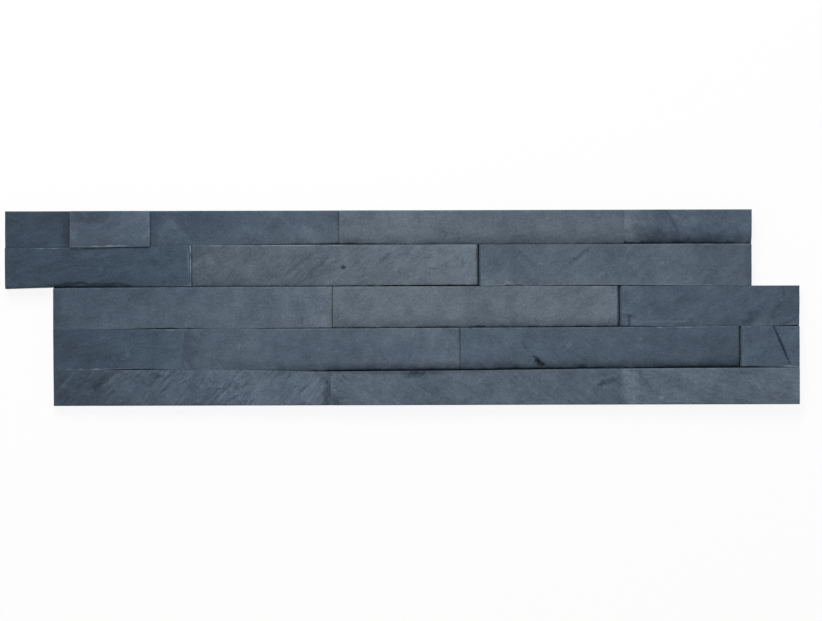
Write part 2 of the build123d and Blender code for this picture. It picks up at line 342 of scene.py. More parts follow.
def metres(name, description, default, **limits):
    """A property that holds a length."""
    return FloatProperty(name=name, description=description, default=default, precision=6, unit="LENGTH",
                         **limits)


def tint(name, description, default):
    """A property that holds a colour."""
    return FloatVectorProperty(name=name, description=description, default=default, subtype="COLOR",
                               min=0, max=1)


class SlateSizes(bpy.types.PropertyGroup):
    """Sizes of the riven faces and their arrises."""

    pitch: metres("Grid pitch", "Distance between the points of a face", 0.0006, min=0.0003)
    wander: metres("Edge wander", "How far broken edges stray from the solid's smooth ones", 0.0009)
    swell_height: metres("Swells", "Height of the broad swells of a face", 0.00016)
    sheet_height: metres(
        "Sheet edges", "Height of one sheet's edge where the slate split between sheets", 0.00022)
    ridge_height: metres("Ridges", "Height of the cleft ridges", 0.0006)
    grain_height: metres("Grain", "Height of the fine grain", 0.00005)
    arris_width: metres("Arris width", "Width of the worn band along a face's edge", 0.0011)
    arris_drop: metres("Arris drop", "How far the worn band falls at the edge", 0.0006)
    roll_width: metres("Roll width", "Width of the band along a lower edge that rolls down", 0.006)
    roll_drop: metres("Roll drop", "How far a lower edge rolls down", 0.0011)
    joint_line: metres(
        "Joint line", "Depth of a head joint's line in the panel's long free edges", 0.0014)
    joint_opening: metres(
        "Joint opening", "How far a lower arris stands back where its joint is open", 0.0009)
    joint_closing: metres(
        "Joint closing", "How far a lower arris reaches out where its joint is tight", 0.00057)


class SlateColours(bpy.types.PropertyGroup):
    """Colours of the slate and the adhesive."""

    blue_slate: tint("Blue slate", "Riven slate where it is bluest", (0.0707, 0.1065, 0.1515))
    grey_slate: tint("Grey slate", "Riven slate where it is greyest", (0.0945, 0.118, 0.1437))
    # Also painted along the upper arrises as a highlight where they face the light
    broken_slate_and_highlight: tint("Broken slate", "Fresh broken arrises and chips", (0.180, 0.225, 0.264))
    sawn_slate: tint("Sawn slate", "Sawn edges and back", (0.100, 0.138, 0.170))
    saw_dust: tint("Saw dust", "Pale dust in the saw lines", (0.170, 0.210, 0.240))
    adhesive: tint("Adhesive", "Cured adhesive in the bed joints", (0.018, 0.036, 0.054))


class StageSizes(bpy.types.PropertyGroup):
    """Floor, light and camera."""

    floor_size: metres("Floor", "Side of the square floor", 14.0)
    floor_colour: tint("Floor colour", "Colour of the floor", (0.95, 0.95, 0.95))
    floor_glow: FloatProperty(
        name="Floor glow", description="Share of plain white in the floor as the camera sees it",
        default=0.9, min=0, max=1, subtype="FACTOR")
    key_distance: metres("Key distance", "From the panel to the soft box", 1.8)
    key_elevation: FloatProperty(
        name="Key elevation", description="Height of the soft box above the floor",
        default=math.radians(50), subtype="ANGLE")
    key_turn: FloatProperty(
        name="Key turn", description="Turn of the soft box from the panel's top towards its left",
        default=math.radians(12), subtype="ANGLE")
    key_size: metres("Key size", "Side of the soft box", 0.9)
    key_power: FloatProperty(
        name="Key power", description="Power of the soft box", default=25.0, unit="POWER")
    sky: FloatProperty(
        name="Sky", description="Strength of the even light from all round", default=0.4, min=0)
    lens: FloatProperty(
        name="Lens", description="Focal length", default=135.0, unit="CAMERA")


class Lattice:
    """Smooth noise over a plane, from seeded slopes at the corners of its cells. It runs from about -1 to 1,
    and its lengths are those of a cell along X and Y."""

    SIDE = 256
    GAIN = 1.5

    def __init__(self, seed):
        angles = np.random.default_rng(seed).uniform(0, 2 * np.pi, (self.SIDE, self.SIDE))
        self.slopes = np.cos(angles), np.sin(angles)

    def __call__(self, x, y, lengths=(1, 1)):
        x, y = x / lengths[0], y / lengths[1]
        column, row = np.floor(x).astype(int), np.floor(y).astype(int)
        right, up = x - column, y - row

        def corner(i, j):
            place = (row + j) % self.SIDE, (column + i) % self.SIDE
            return self.slopes[0][place] * (right - i) + self.slopes[1][place] * (up - j)

        across, rise = eased(right), eased(up)
        low = corner(0, 0) * (1 - across) + corner(1, 0) * across
        high = corner(0, 1) * (1 - across) + corner(1, 1) * across
        return self.GAIN * (low * (1 - rise) + high * rise)

    def fractal(self, x, y, lengths, octaves):
        """Noise with finer noise added, each time half as large and half as high."""
        x, y = x / lengths[0], y / lengths[1]
        return sum(self(x * 2**i + i / 3, y * 2**i - i / 3) / 2**i for i in range(octaves))


def eased(share):
    """A share from 0 to 1 with a smooth start and end."""
    share = np.clip(share, 0, 1)
    return share * share * (3 - 2 * share)


def between(values, share):
    """The value at a share of the way through values that stand at even steps."""
    return np.interp(share, np.linspace(0, 1, len(values)), values)


def grown(parts, share):
    """The least part, with a share of the part that can be added."""
    least, added = parts
    return least + added * share


def nearness(distance, reach):
    """1 at an edge, and evenly less until it is 0 at a reach from the edge."""
    return np.clip(1 - distance / reach, 0, 1)


def tightness(opening):
    """1 at a closed joint, and evenly less until it is 0 where the joint is a third open."""
    return np.clip(1 - 3 * opening, 0, 1)


def turned(x, y, degrees):
    """Coordinates along and across a direction."""
    angle = math.radians(degrees)
    return x * math.cos(angle) + y * math.sin(angle), y * math.cos(angle) - x * math.sin(angle)


def softened(field, passes):
    """A grid of values, each averaged with its neighbours a number of times."""
    for _ in range(passes):
        for axis in (0, 1):
            field = np.moveaxis(field, axis, 0)
            padded = np.concatenate((field[:1], field, field[-1:]))
            field = np.moveaxis((padded[:-2] + 2 * field + padded[2:]) / 4, 0, axis)
    return field


def bed_opening(bed, x):
    """How open the joint under a course is at each x. Beds 0 and 5 are the panel's free edges."""
    if bed in (0, COURSES):
        return np.full_like(x, FREE_OPENING)
    places, openings = [], []
    for node, finish in FINISHES.items():
        if node.startswith(f"course{bed}_"):
            low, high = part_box(node)
            places += np.linspace(low.x, high.x, len(finish.bed_opening)).tolist()
            openings += finish.bed_opening
    return np.interp(x, places, openings)


def course_solid(course):
    """The solids of a course's strips as one tree to cast rays at."""
    points, faces = [], []
    for node in FINISHES:
        if node.startswith(f"course{course}_"):
            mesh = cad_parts[node].data
            faces += [[len(points) + vertex for vertex in face.vertices] for face in mesh.polygons]
            points += [vertex.co for vertex in mesh.vertices]
    return BVHTree.FromPolygons(points, faces)


class StripFace:
    """One strip's outline and solid, as the frame gives them, and its face point by point."""

    # Places of the closer points along an edge, in grid pitches
    EDGE_STEPS = (0.0, 0.22, 0.5, 0.9, 1.5)
    # Depths of the walls' rings below the arris, in arris drops, and how far they follow its breaks
    RING_DEPTHS = (1.0, 3.0, 7.0)
    RING_FOLLOWS = (0.8, 0.4, 0.1)
    SAME_PLACE = 1e-5
    CLEAR = 8e-5
    # Where the next course's edge is looked for, how far apart, and how far a face bends to meet it
    BEYOND = 0.0015
    APART = 0.012
    BEND = 0.015
    # Lengths of the larger and smaller strays of broken edges, in edge wanders, the share of the smaller
    # ones, and how often the heights are then averaged
    STRAYS = (7.0, 2.2)
    SMALL_STRAYS = 0.5
    SOFTENINGS = 3
    # Lengths of the relief's patterns in metres, along and across the strip, or along and across its
    # cleft lines for sheets and ridges, and how far the cleft lines bend
    LINES = (0.05, 0.05)
    LINE_BEND = 0.004
    SWELLS = (0.045, 0.03)
    SHEETS = (0.060, 0.022)
    RIDGES = (0.011, 0.0048)
    CLUMPS = (0.014, 0.014)
    GRAINS = (0.0032, 0.0032)
    CHIPS = (0.009, 0.013)
    # Sheets that the noise passes through from its middle to its top, and how steep their edges are
    SHEET_COUNT = 2.2
    SHEET_STEEPNESS = 3.0
    # Least part, and the part that noise adds, of the clumps of ridges and of an edge's breaks
    CLUMPED = (0.6, 1.1)
    BROKEN = (0.5, 0.8)
    # Least part, and the part that breaks add, of an arris's width, drop and wear, and of an opening
    ARRIS_WIDTH = (0.6, 0.9)
    ARRIS_DROP = (0.35, 0.9)
    ARRIS_WEAR = (0.5, 0.5)
    OPENED = (0.75, 0.5)
    # Least part of an arris drop, the part that an open joint adds, and the opening that adds it all
    OPEN_DROP = (0.1, 0.9)
    FULL_DROP = 0.5
    # How far wear runs ahead of the arris's drop, and how far a joint moves the face, in joint openings
    WEAR_SPREAD = 1.6
    OPENING_REACH = 6

    def __init__(self, node, sizes):
        self.node, self.sizes, self.finish = node, sizes, FINISHES[node]
        # Each of a strip's patterns adds its own number, from 1 to 9, to this
        self.seed = 10 * sorted(FINISHES).index(node)
        self.course, self.number = (int(text) for text in node.removeprefix("course").split("_strip"))
        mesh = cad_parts[node].data
        points = np.array([vertex.co for vertex in mesh.vertices])
        back = points[points[:, 2] < self.SAME_PLACE]
        self.left, self.right = back[:, 0].min(), back[:, 0].max()
        back = back[np.argsort(back[:, 0])]
        is_low = back[:, 1] < (back[:, 1].min() + back[:, 1].max()) / 2
        self.lower, self.upper = back[is_low], back[~is_low]
        self.length = self.right - self.left
        self.height = self.upper[:, 1].mean() - self.lower[:, 1].mean()
        self.top = points[:, 2].max()
        self.solid = BVHTree.FromPolygons(points.tolist(), [face.vertices for face in mesh.polygons])

    def head_joint(self, side):
        """Half the gap at the strip's left or right end, and how open it is. A free end has no gap."""
        other = f"course{self.course}_strip{self.number + side}"
        if other not in FINISHES:
            return 0.0, FREE_OPENING
        low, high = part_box(other)
        gap = low.x - self.right if side > 0 else self.left - high.x
        opening = self.finish.head_opening if side > 0 else FINISHES[other].head_opening
        return gap / 2, opening

    def spaced(self, length):
        """Places from 0 to a length: a pitch apart, and closer near both ends."""
        edge = self.sizes.pitch * np.array(self.EDGE_STEPS)
        count = max(2, round((length - 2 * edge[-1]) / self.sizes.pitch) + 1)
        middle = np.linspace(edge[-1], length - edge[-1], count)
        return np.concatenate((edge[:-1], middle, length - edge[-2::-1]))

    def edges(self, x):
        """Y of the lower and upper edges at x."""
        return tuple(np.interp(x, edge[:, 0], edge[:, 1]) for edge in (self.lower, self.upper))

    def place(self, along, up):
        """X and Y at shares of the strip's length and height."""
        x = self.left + self.length * along
        low, high = self.edges(x)
        return x, low + (high - low) * up

    def solid_height(self, x, y):
        """Height of the solid's face under each point, with its edges made to wander and softened."""
        wander = self.sizes.wander
        coarse, fine = Lattice(self.seed + 1), Lattice(self.seed + 2)
        wide, small = ((wander * length, wander * length) for length in self.STRAYS)
        shift_x = wander * (coarse(x, y, wide) + self.SMALL_STRAYS * fine(x, y, small))
        shift_y = wander * (coarse(y, x, wide) + self.SMALL_STRAYS * fine(y, x, small))
        x = np.clip(x + shift_x, self.left + self.CLEAR, self.right - self.CLEAR)
        low, high = self.edges(x)
        y = np.clip(y + shift_y, low + self.CLEAR, high - self.CLEAR)
        start = self.top + self.height
        hits = [self.solid.ray_cast((px, py, start), DOWN)[0].z for px, py in zip(x.flat, y.flat)]
        return softened(np.array(hits).reshape(x.shape), self.SOFTENINGS)

    def rise(self, x):
        """How far the course above stands over the strip's upper edge at each x."""
        if self.course == 1:
            return np.zeros_like(x)
        above = course_solid(self.course - 1)
        count = round(self.length / self.APART) + 2
        places = np.linspace(self.left + self.CLEAR, self.right - self.CLEAR, count)
        rises = []
        for place, edge in zip(places, self.edges(places)[1]):
            own = self.solid.ray_cast((place, edge - self.CLEAR, RAY_START), DOWN)[0]
            other = above.ray_cast((place, edge + self.BEYOND, RAY_START), DOWN)[0]
            rises.append(max(0, other.z - own.z) if other else 0)
        return np.interp(x, places, rises)

    def relief(self, x, y):
        """Swells, sheet edges, ridges and grain of the split face, above the solid's own face."""
        sizes, finish = self.sizes, self.finish
        broad, split, crest, fine = (Lattice(self.seed + i) for i in range(3, 7))
        along, across = turned(x, y, finish.streak_angle)
        across = across + self.LINE_BEND * broad(x, y, self.LINES)
        swell = broad.fractal(x, y, self.SWELLS, 2)
        sheet = self.SHEET_COUNT * split.fractal(along, across, self.SHEETS, 5)
        step = np.floor(sheet) + eased((sheet - np.floor(sheet) - 0.5) * self.SHEET_STEEPNESS + 0.5)
        folds = crest.fractal(along, across, self.RIDGES, 3)
        clumps = eased(grown(self.CLUMPED, broad(x, y, self.CLUMPS)))
        ridge = clumps * (1 - 2 * np.abs(np.clip(folds, -1, 1)))
        ridges = between(finish.ridges, (x - self.left) / self.length)
        grain = fine.fractal(x, y, self.GRAINS, 2)
        return (sizes.swell_height * swell + sizes.sheet_height * finish.sheets * step
                + sizes.ridge_height * ridges * ridge + sizes.grain_height * grain)

    def edge_break(self, x, seed):
        """How broken an edge is along its length, from 0 to 1."""
        chips = Lattice(self.seed + seed).fractal(x, x, self.CHIPS, 4)
        return np.clip(grown(self.BROKEN, chips), 0, 1)


def slate_mesh(face):
    """A grid over the strip's face, with walls and a back, on whole numbers: column, row and ring."""
    columns, rows = len(face.spaced(face.length)), len(face.spaced(face.height))
    mesh = bmesh.new()
    bmesh.ops.create_grid(mesh, x_segments=columns - 1, y_segments=rows - 1, size=0.5)
    middle = Vector((0.5, 0.5, 0))
    bmesh.ops.translate(mesh, verts=mesh.verts, vec=middle)
    bmesh.ops.scale(mesh, verts=mesh.verts, vec=(columns - 1, rows - 1, 1))
    rim = [edge for edge in mesh.edges if edge.is_boundary]
    for _ in range(len(face.RING_DEPTHS) + 1):
        wall = bmesh.ops.extrude_edge_only(mesh, edges=rim)["geom"]
        rim = [part for part in wall if isinstance(part, bmesh.types.BMEdge) and part.is_boundary]
        foot = [part for part in wall if isinstance(part, bmesh.types.BMVert)]
        bmesh.ops.translate(mesh, verts=foot, vec=(0, 0, -1))
    bmesh.ops.edgeloop_fill(mesh, edges=rim)
    bmesh.ops.recalc_face_normals(mesh, faces=mesh.faces)
    return mesh


def marked(face, x, y):
    """Tone, depth and wear that the strip's own marks add at each point."""
    tone, depth, wear = np.zeros_like(x), np.zeros_like(x), np.zeros_like(x)
    ragged = Lattice(face.seed + 7)
    for mark in MARKS.get(face.node, ()):
        centre_x, centre_y = face.place(mark.along, mark.up)
        along, across = turned(x - centre_x, y - centre_y, mark.turn)
        grain = max(0.5 * mark.width, 2 * face.sizes.pitch)
        far = np.hypot(2 * along / mark.length, 2 * across / mark.width)
        far = far + mark.ragged * ragged.fractal(x, y, (grain, grain), 3)
        mask = eased((1 - far) / mark.soft + 0.5)
        tone += mark.tone * mask
        depth += mark.depth * mask
        wear = np.maximum(wear, mark.wear * mask)
    return tone, depth, wear


class StripGrid:
    """Points of the grid over a strip's face: places, distances to the edges, openings of the joints,
    heights, and the tone and paling that marks add. Some of the marks' tone is painted shade."""

    def __init__(self, face):
        self.face = face
        across, down = face.spaced(face.length), face.spaced(face.height)
        self.along, self.up = np.meshgrid(across / face.length, down / face.height)
        self.x, self.y = face.place(self.along, self.up)
        low, high = face.edges(self.x)
        self.to_left, self.to_right = self.x - face.left, face.right - self.x
        self.to_low, self.to_high = self.y - low, high - self.y
        self.left_gap, self.left_opening = face.head_joint(-1)
        self.right_gap, self.right_opening = face.head_joint(1)
        self.under, self.over = bed_opening(face.course, self.x), bed_opening(face.course - 1, self.x)
        self.tone, depth, self.wear = marked(face, self.x, self.y)
        bend = tightness(self.over) * face.rise(self.x) * nearness(self.to_high, face.BEND)
        self.height = face.solid_height(self.x, self.y) + bend + face.relief(self.x, self.y) - depth
        self.under_break, self.over_break = face.edge_break(self.x, 8), face.edge_break(self.x, 9)
        self.left_break, self.right_break = face.edge_break(self.y, 8), face.edge_break(self.y, 9)
        self.reach = face.OPENING_REACH * face.sizes.joint_opening

    def wear_edges(self):
        """Rolls the lower edge down, and breaks and pales the arrises, more where a joint is open. The
        paling is broken stone, and along the upper arris partly a painted highlight where it faces the
        light.
        """
        face, sizes, finish = self.face, self.face.sizes, self.face.finish
        roll = sizes.roll_drop * between(finish.lower_roll, self.along)
        self.height -= roll * nearness(self.to_low, sizes.roll_width)**2
        for to_edge, broken, opening, worn_and_lit in (
                (self.to_low, self.under_break, self.under, between(finish.lower_wear, self.along)),
                # The upper arris pales partly as broken stone and partly as a painted highlight where it
                # faces the light
                (self.to_high, self.over_break, self.over, between(finish.upper_wear, self.along)),
                (self.to_left, self.left_break, self.left_opening, finish.left_wear),
                (self.to_right, self.right_break, self.right_opening, finish.right_wear)):
            near = nearness(to_edge, sizes.arris_width * grown(face.ARRIS_WIDTH, broken))
            drop = sizes.arris_drop * grown(face.OPEN_DROP, eased(opening / face.FULL_DROP))
            self.height -= drop * grown(face.ARRIS_DROP, broken) * near**2
            worn_and_lit = worn_and_lit * grown(face.ARRIS_WEAR, broken) * eased(near * face.WEAR_SPREAD)
            self.wear = np.maximum(self.wear, worn_and_lit)
        self.height = np.minimum(self.height, face.top)

    def arris_shift(self):
        """How far the lower arris stands back from an open joint, or reaches out to close a tight one."""
        if self.face.course == COURSES:
            return np.zeros_like(self.x)
        sizes = self.face.sizes
        share = self.under * grown(self.face.OPENED, self.under_break)
        opened = sizes.joint_opening * share - sizes.joint_closing * tightness(share)
        return opened * nearness(self.to_low, self.reach)**2

    def end_shifts(self):
        """How far the ends move at the face and at the back. They meet the next strip's end at the back,
        and at the face too where the joint is tight, but stand apart in a fine line at the panel's long
        free edges."""
        face = self.face
        edges = {1: self.to_high, COURSES: self.to_low}
        to_free = edges.get(face.course, np.full_like(self.x, face.height))
        closed = np.clip(to_free / face.sizes.joint_line, 0, 1)
        left = closed * nearness(self.to_left, self.reach)**2
        right = closed * nearness(self.to_right, self.reach)**2
        left_closing = self.left_gap * (1 - self.left_opening)
        right_closing = self.right_gap * (1 - self.right_opening)
        return right_closing * right - left_closing * left, self.right_gap * right - self.left_gap * left


def grid_numbers(mesh):
    """Column, row and ring of each point of a mesh that still lies on whole numbers."""
    numbers = np.empty(3 * len(mesh.vertices))
    mesh.vertices.foreach_get("co", numbers)
    return np.rint(numbers.reshape(-1, 3)).astype(int).T


def dress(face, mesh):
    """Moves the mesh's points onto the strip, and returns what the finish needs at each point."""
    grid, finish = StripGrid(face), face.finish
    grid.wear_edges()
    shift_y = grid.arris_shift()
    shift_x, foot_x = grid.end_shifts()

    # Points of the face, then of the walls, ring by ring down to the back
    column, row, ring = grid_numbers(mesh)
    spot = row, column
    follow = np.array((1.0, *face.RING_FOLLOWS, 0.0))[-ring]
    depths = face.sizes.arris_drop * np.array((0.0, *face.RING_DEPTHS, 0.0))
    places = np.column_stack((
        grid.x[spot] + follow * shift_x[spot] + (1 - follow) * foot_x[spot],
        grid.y[spot] + follow * shift_y[spot],
        np.where(ring == 1 - len(depths), 0.0, grid.height[spot] - depths[-ring])))
    mesh.vertices.foreach_set("co", places.ravel())

    # The finish's values, and places along and across the cleft lines, apart from other strips'
    cleft = (*turned(grid.x, grid.y, finish.streak_angle), np.full_like(grid.x, face.seed / 100))
    # Painted shade: the tone lighter at one long edge and darker at the other, as a leaning face is lit
    lean_shading = 1 + finish.lean_shading * (2 * grid.up - 1)
    fields = {"tone": between(finish.tones, grid.along) * lean_shading * (1 + grid.tone), "wear": grid.wear,
              "streaks": np.full_like(grid.x, finish.streaks), "grey": between(finish.grey, grid.along)}
    points = {name: field[spot] for name, field in fields.items()}
    points["cleft"] = np.column_stack([field[spot] for field in cleft])
    return points


def add_attribute(mesh, name, values):
    """A value or a vector for each point, which a material can read."""
    kind, field = ("FLOAT", "value") if values.ndim == 1 else ("FLOAT_VECTOR", "vector")
    attribute = mesh.attributes.new(name, kind, "POINT")
    attribute.data.foreach_set(field, values.astype(np.float32).ravel())


def link(name, mesh):
    """An object of a mesh, in the scene, at the origin."""
    piece = bpy.data.objects.new(name, mesh)
    bpy.context.scene.collection.objects.link(piece)
    return piece


def riven_strip(node, sizes, colours):
    """A slate strip with a riven face, sawn edges and a sawn back, in place of its solid."""
    face = StripFace(node, sizes)
    grid = slate_mesh(face)
    mesh = bpy.data.meshes.new(f"riven_{node}")
    grid.to_mesh(mesh)
    grid.free()
    ring = grid_numbers(mesh)[2]
    for name, values in dress(face, mesh).items():
        add_attribute(mesh, name, values)
    for make in (riven_slate, sawn_slate, sawn_back):
        mesh.materials.append(finished(make, colours))
    last = ring.min()
    for polygon in mesh.polygons:
        rings = [ring[vertex] for vertex in polygon.vertices]
        if min(rings) == 0:
            polygon.material_index = FACE
        elif max(rings) == last:
            polygon.material_index = BACK
        else:
            polygon.material_index = EDGES
    mesh.shade_smooth()
    mesh.set_sharp_from_angle(angle=SHARP_ANGLE)
    mesh.update()
    piece = link(f"riven_{node}", mesh)
    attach(piece, "root")
    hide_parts(node)


class Socket:
    """A socket of a material. Maths on sockets and numbers adds Math nodes to it."""

    def __init__(self, finish, output):
        self.finish, self.output = finish, output

    def maths(self, operation, first, second):
        return self.finish.node("ShaderNodeMath", {"operation": operation}, {0: first, 1: second})

    def __add__(self, other):
        return self.maths("ADD", self, other)

    def __radd__(self, other):
        return self.maths("ADD", other, self)

    def __sub__(self, other):
        return self.maths("SUBTRACT", self, other)

    def __rsub__(self, other):
        return self.maths("SUBTRACT", other, self)

    def __mul__(self, other):
        return self.maths("MULTIPLY", self, other)

    def __rmul__(self, other):
        return self.maths("MULTIPLY", other, self)


class SurfaceFinish:
    """The nodes of a material or a world."""

    def __init__(self, holder):
        self.holder = holder
        holder.use_nodes = True
        self.tree = holder.node_tree
        self.tree.nodes.clear()

    def node(self, kind, settings=None, inputs=None, output=0):
        """A new node with its settings, then the values or links of its sockets, as one of its outputs."""
        made = self.tree.nodes.new(kind)
        for name, value in (settings or {}).items():
            setattr(made, name, value)
        for key, value in (inputs or {}).items():
            if isinstance(value, Socket):
                self.tree.links.new(value.output, made.inputs[key])
            else:
                made.inputs[key].default_value = value
        return Socket(self, made.outputs[output]) if made.outputs else None

    def attribute(self, name, output="Fac"):
        return self.node("ShaderNodeAttribute", {"attribute_name": name}, output=output)

    def stretched(self, vector, scale):
        """A vector scaled by a different number along each axis."""
        return self.node("ShaderNodeVectorMath", {"operation": "MULTIPLY"}, {0: vector, 1: scale})

    def noise(self, vector, scale, detail=2.0, roughness=0.5):
        """Noise about 0, from about -0.5 to 0.5."""
        inputs = {"Vector": vector, "Scale": scale, "Detail": detail, "Roughness": roughness}
        return self.node("ShaderNodeTexNoise", {}, inputs) - 0.5

    def ramp(self, value, low, high):
        """0 below the low value, 1 above the high one, and smooth between."""
        settings = {"interpolation_type": "SMOOTHSTEP", "clamp": True}
        return self.node("ShaderNodeMapRange", settings, {"Value": value, 1: low, 2: high, 3: 0.0, 4: 1.0})

    def mixed(self, share, first, second):
        """A colour between two colours."""
        settings = {"data_type": "RGBA", "clamp_factor": True}
        return self.node("ShaderNodeMix", settings, {0: share, 6: first, 7: second}, output=2)

    def scaled(self, colour, factor):
        """A colour made lighter or darker."""
        return self.node("ShaderNodeVectorMath", {"operation": "SCALE"}, {0: colour, "Scale": factor})

    def bump(self, height, distance):
        """The normal of a surface that is raised by a height times a distance."""
        return self.node("ShaderNodeBump", {}, {"Height": height, "Distance": distance, "Strength": 1.0})

    def seen_ray(self):
        """1 for rays from the camera, and for those that mirror or pass to it."""
        camera, glossy, through = (self.node("ShaderNodeLightPath", output=f"Is {ray} Ray")
                                   for ray in ("Camera", "Glossy", "Transmission"))
        return self.node("ShaderNodeMath", {"operation": "ADD", "use_clamp": True},
                         {0: camera + glossy, 1: through})

    def output(self, shader, kind="ShaderNodeOutputMaterial"):
        self.node(kind, {}, {"Surface": shader})
        return self.holder

    def surface(self, colour, roughness, normal, specular):
        inputs = {"Base Color": colour, "Roughness": roughness, "Normal": normal,
                  "Specular IOR Level": specular}
        return self.output(self.node("ShaderNodeBsdfPrincipled", {}, inputs))


def opaque(colour):
    return (*colour, 1.0)


def finished(make, colours):
    """The material that a function makes, made once."""
    name = make.__name__
    return bpy.data.materials.get(name) or make(SurfaceFinish(bpy.data.materials.new(name)), colours)


def riven_slate(slate, colours):
    """Split slate: clouded, streaked along its grain, and paler where it is broken, and along the upper
    arrises, where the paling is partly a painted highlight.
    """
    cleft = slate.attribute("cleft", "Vector")
    tone, wear = slate.attribute("tone"), slate.attribute("wear")
    cloud = slate.noise(cleft, scale=22.0, detail=3.0)
    mottle = slate.noise(cleft, scale=95.0, detail=4.0, roughness=0.6)
    streak = slate.noise(slate.stretched(cleft, (1.0, 7.0, 1.0)), scale=38.0, detail=5.0, roughness=0.6)
    grain = slate.noise(cleft, scale=1100.0, roughness=0.7)
    fine = slate.noise(cleft, scale=480.0)
    dabs = slate.ramp(slate.noise(cleft, scale=230.0), low=0.08, high=0.24)
    flecks = slate.ramp(slate.noise(cleft, scale=520.0, detail=1.0), low=0.22, high=0.32)
    lines = slate.attribute("streaks") * streak
    light = tone * (0.98 + 0.55 * cloud + 0.8 * mottle + lines + 0.45 * fine + 1.1 * grain
                    + 0.12 * dabs + 0.2 * flecks)
    hue = slate.noise(slate.stretched(cleft, (1.0, 1.6, 1.0)), scale=30.0, detail=3.0)
    grey = slate.attribute("grey") + 0.7 * (light - 1.0) + 0.25 * hue
    body = slate.mixed(grey, opaque(colours.blue_slate), opaque(colours.grey_slate))
    # Paling towards broken slate: broken arrises and chips, and a painted highlight along the upper arrises
    worn_and_lit = slate.ramp(wear + 0.35 * mottle, low=0.1, high=0.9)
    colour = slate.mixed(worn_and_lit, slate.scaled(body, light), opaque(colours.broken_slate_and_highlight))
    rough = 0.6 + 0.3 * mottle + 0.1 * worn_and_lit
    height = 0.5 * grain + 0.4 * fine + 0.5 * lines
    return slate.surface(colour, rough, slate.bump(height, distance=0.0004), SLATE_SPECULAR)


def sawn(slate, colours, dust, light, rough, normal):
    """Sawn slate with pale dust in its saw lines."""
    body = slate.mixed(dust, opaque(colours.sawn_slate), opaque(colours.saw_dust))
    return slate.surface(slate.scaled(body, light), rough, normal, SLATE_SPECULAR)


def sawn_slate(slate, colours):
    """Sawn edges: upright saw lines with pale dust in them."""
    place = slate.node("ShaderNodeTexCoord", output="Object")
    lines = slate.noise(slate.stretched(place, (1.0, 1.0, 0.06)), scale=700.0, detail=3.0, roughness=0.6)
    cloud = slate.noise(place, scale=60.0, detail=4.0)
    grain = slate.noise(place, scale=1800.0)
    dust = slate.ramp(lines + 0.6 * cloud, low=0.0, high=0.4)
    light = 1.0 + 0.5 * cloud + 0.25 * grain
    normal = slate.bump(lines + 0.3 * grain, distance=0.0003)
    return sawn(slate, colours, dust, light, 0.75 + 0.2 * cloud, normal)


def sawn_back(slate, colours):
    """The sawn back: the blade's long arcs, with pale dust in them."""
    place = slate.node("ShaderNodeTexCoord", output="Object")
    centred = slate.node("ShaderNodeMapping", {}, {"Vector": place, "Location": (0.0, 0.45, 0.0)})
    arcs = slate.node("ShaderNodeTexWave", {"wave_type": "RINGS", "rings_direction": "Z"},
                      {"Vector": centred, "Scale": 190.0, "Distortion": 1.5, "Detail": 3.0}, output=1)
    cloud = slate.noise(place, scale=40.0, detail=4.0)
    grain = slate.noise(place, scale=1800.0)
    dust = slate.ramp(arcs - 0.5 + cloud, low=0.0, high=0.7)
    light = 1.0 + 0.4 * cloud + 0.25 * grain
    normal = slate.bump(0.6 * arcs + 0.3 * grain, distance=0.0002)
    return sawn(slate, colours, dust, light, 0.75 + 0.2 * cloud, normal)


def cured_adhesive(glue, colours):
    """Dull adhesive with small voids."""
    place = glue.node("ShaderNodeTexCoord", output="Object")
    cloud = glue.noise(place, scale=120.0, detail=4.0)
    voids = glue.ramp(glue.noise(place, scale=900.0, detail=1.0), low=0.2, high=0.3)
    light = 1.0 + 0.8 * cloud - 0.5 * voids
    colour = glue.scaled(tuple(colours.adhesive), light)
    normal = glue.bump(cloud - voids, distance=0.0004)
    return glue.surface(colour, 0.7 + 0.3 * cloud, normal, ADHESIVE_SPECULAR)


class SLATE_OT_lay_course(bpy.types.Operator):
    """Lay one course of riven slate strips in place of its solids"""

    bl_idname = "slate_panel.lay_course"
    bl_label = "Lay a Course"

    course: IntProperty(name="Course", description="Counted from the top", default=1, min=1, max=COURSES)

    def execute(self, context):
        scene = context.scene
        strips = [node for node in sorted(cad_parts) if node.startswith(f"course{self.course}_")]
        if not strips:
            raise RuntimeError(f"the frame has no strips in course {self.course}")
        for node in strips:
            riven_strip(node, scene.slate_sizes, scene.slate_colours)
        return {"FINISHED"}


class SLATE_OT_fill_beds(bpy.types.Operator):
    """Give the adhesive films in the bed joints their finish"""

    bl_idname = "slate_panel.fill_beds"
    bl_label = "Fill the Bed Joints"

    def execute(self, context):
        finish = finished(cured_adhesive, context.scene.slate_colours)
        films = [node for node in sorted(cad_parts) if node.startswith("bed_film")]
        if not films:
            raise RuntimeError("the frame has no bed films")
        for node in films:
            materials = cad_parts[node].data.materials
            materials.clear()
            materials.append(finish)
        return {"FINISHED"}


class SLATE_OT_set_stage(bpy.types.Operator):
    """Lay the floor under the panel, and set the light and the camera"""

    bl_idname = "slate_panel.set_stage"
    bl_label = "Set the Stage"

    def execute(self, context):
        stage = context.scene.slate_stage
        lay_floor(stage)
        hang_lights(context.scene, stage)
        aim_camera(context.scene, stage)
        context.scene.view_settings.view_transform = "Standard"
        return {"FINISHED"}


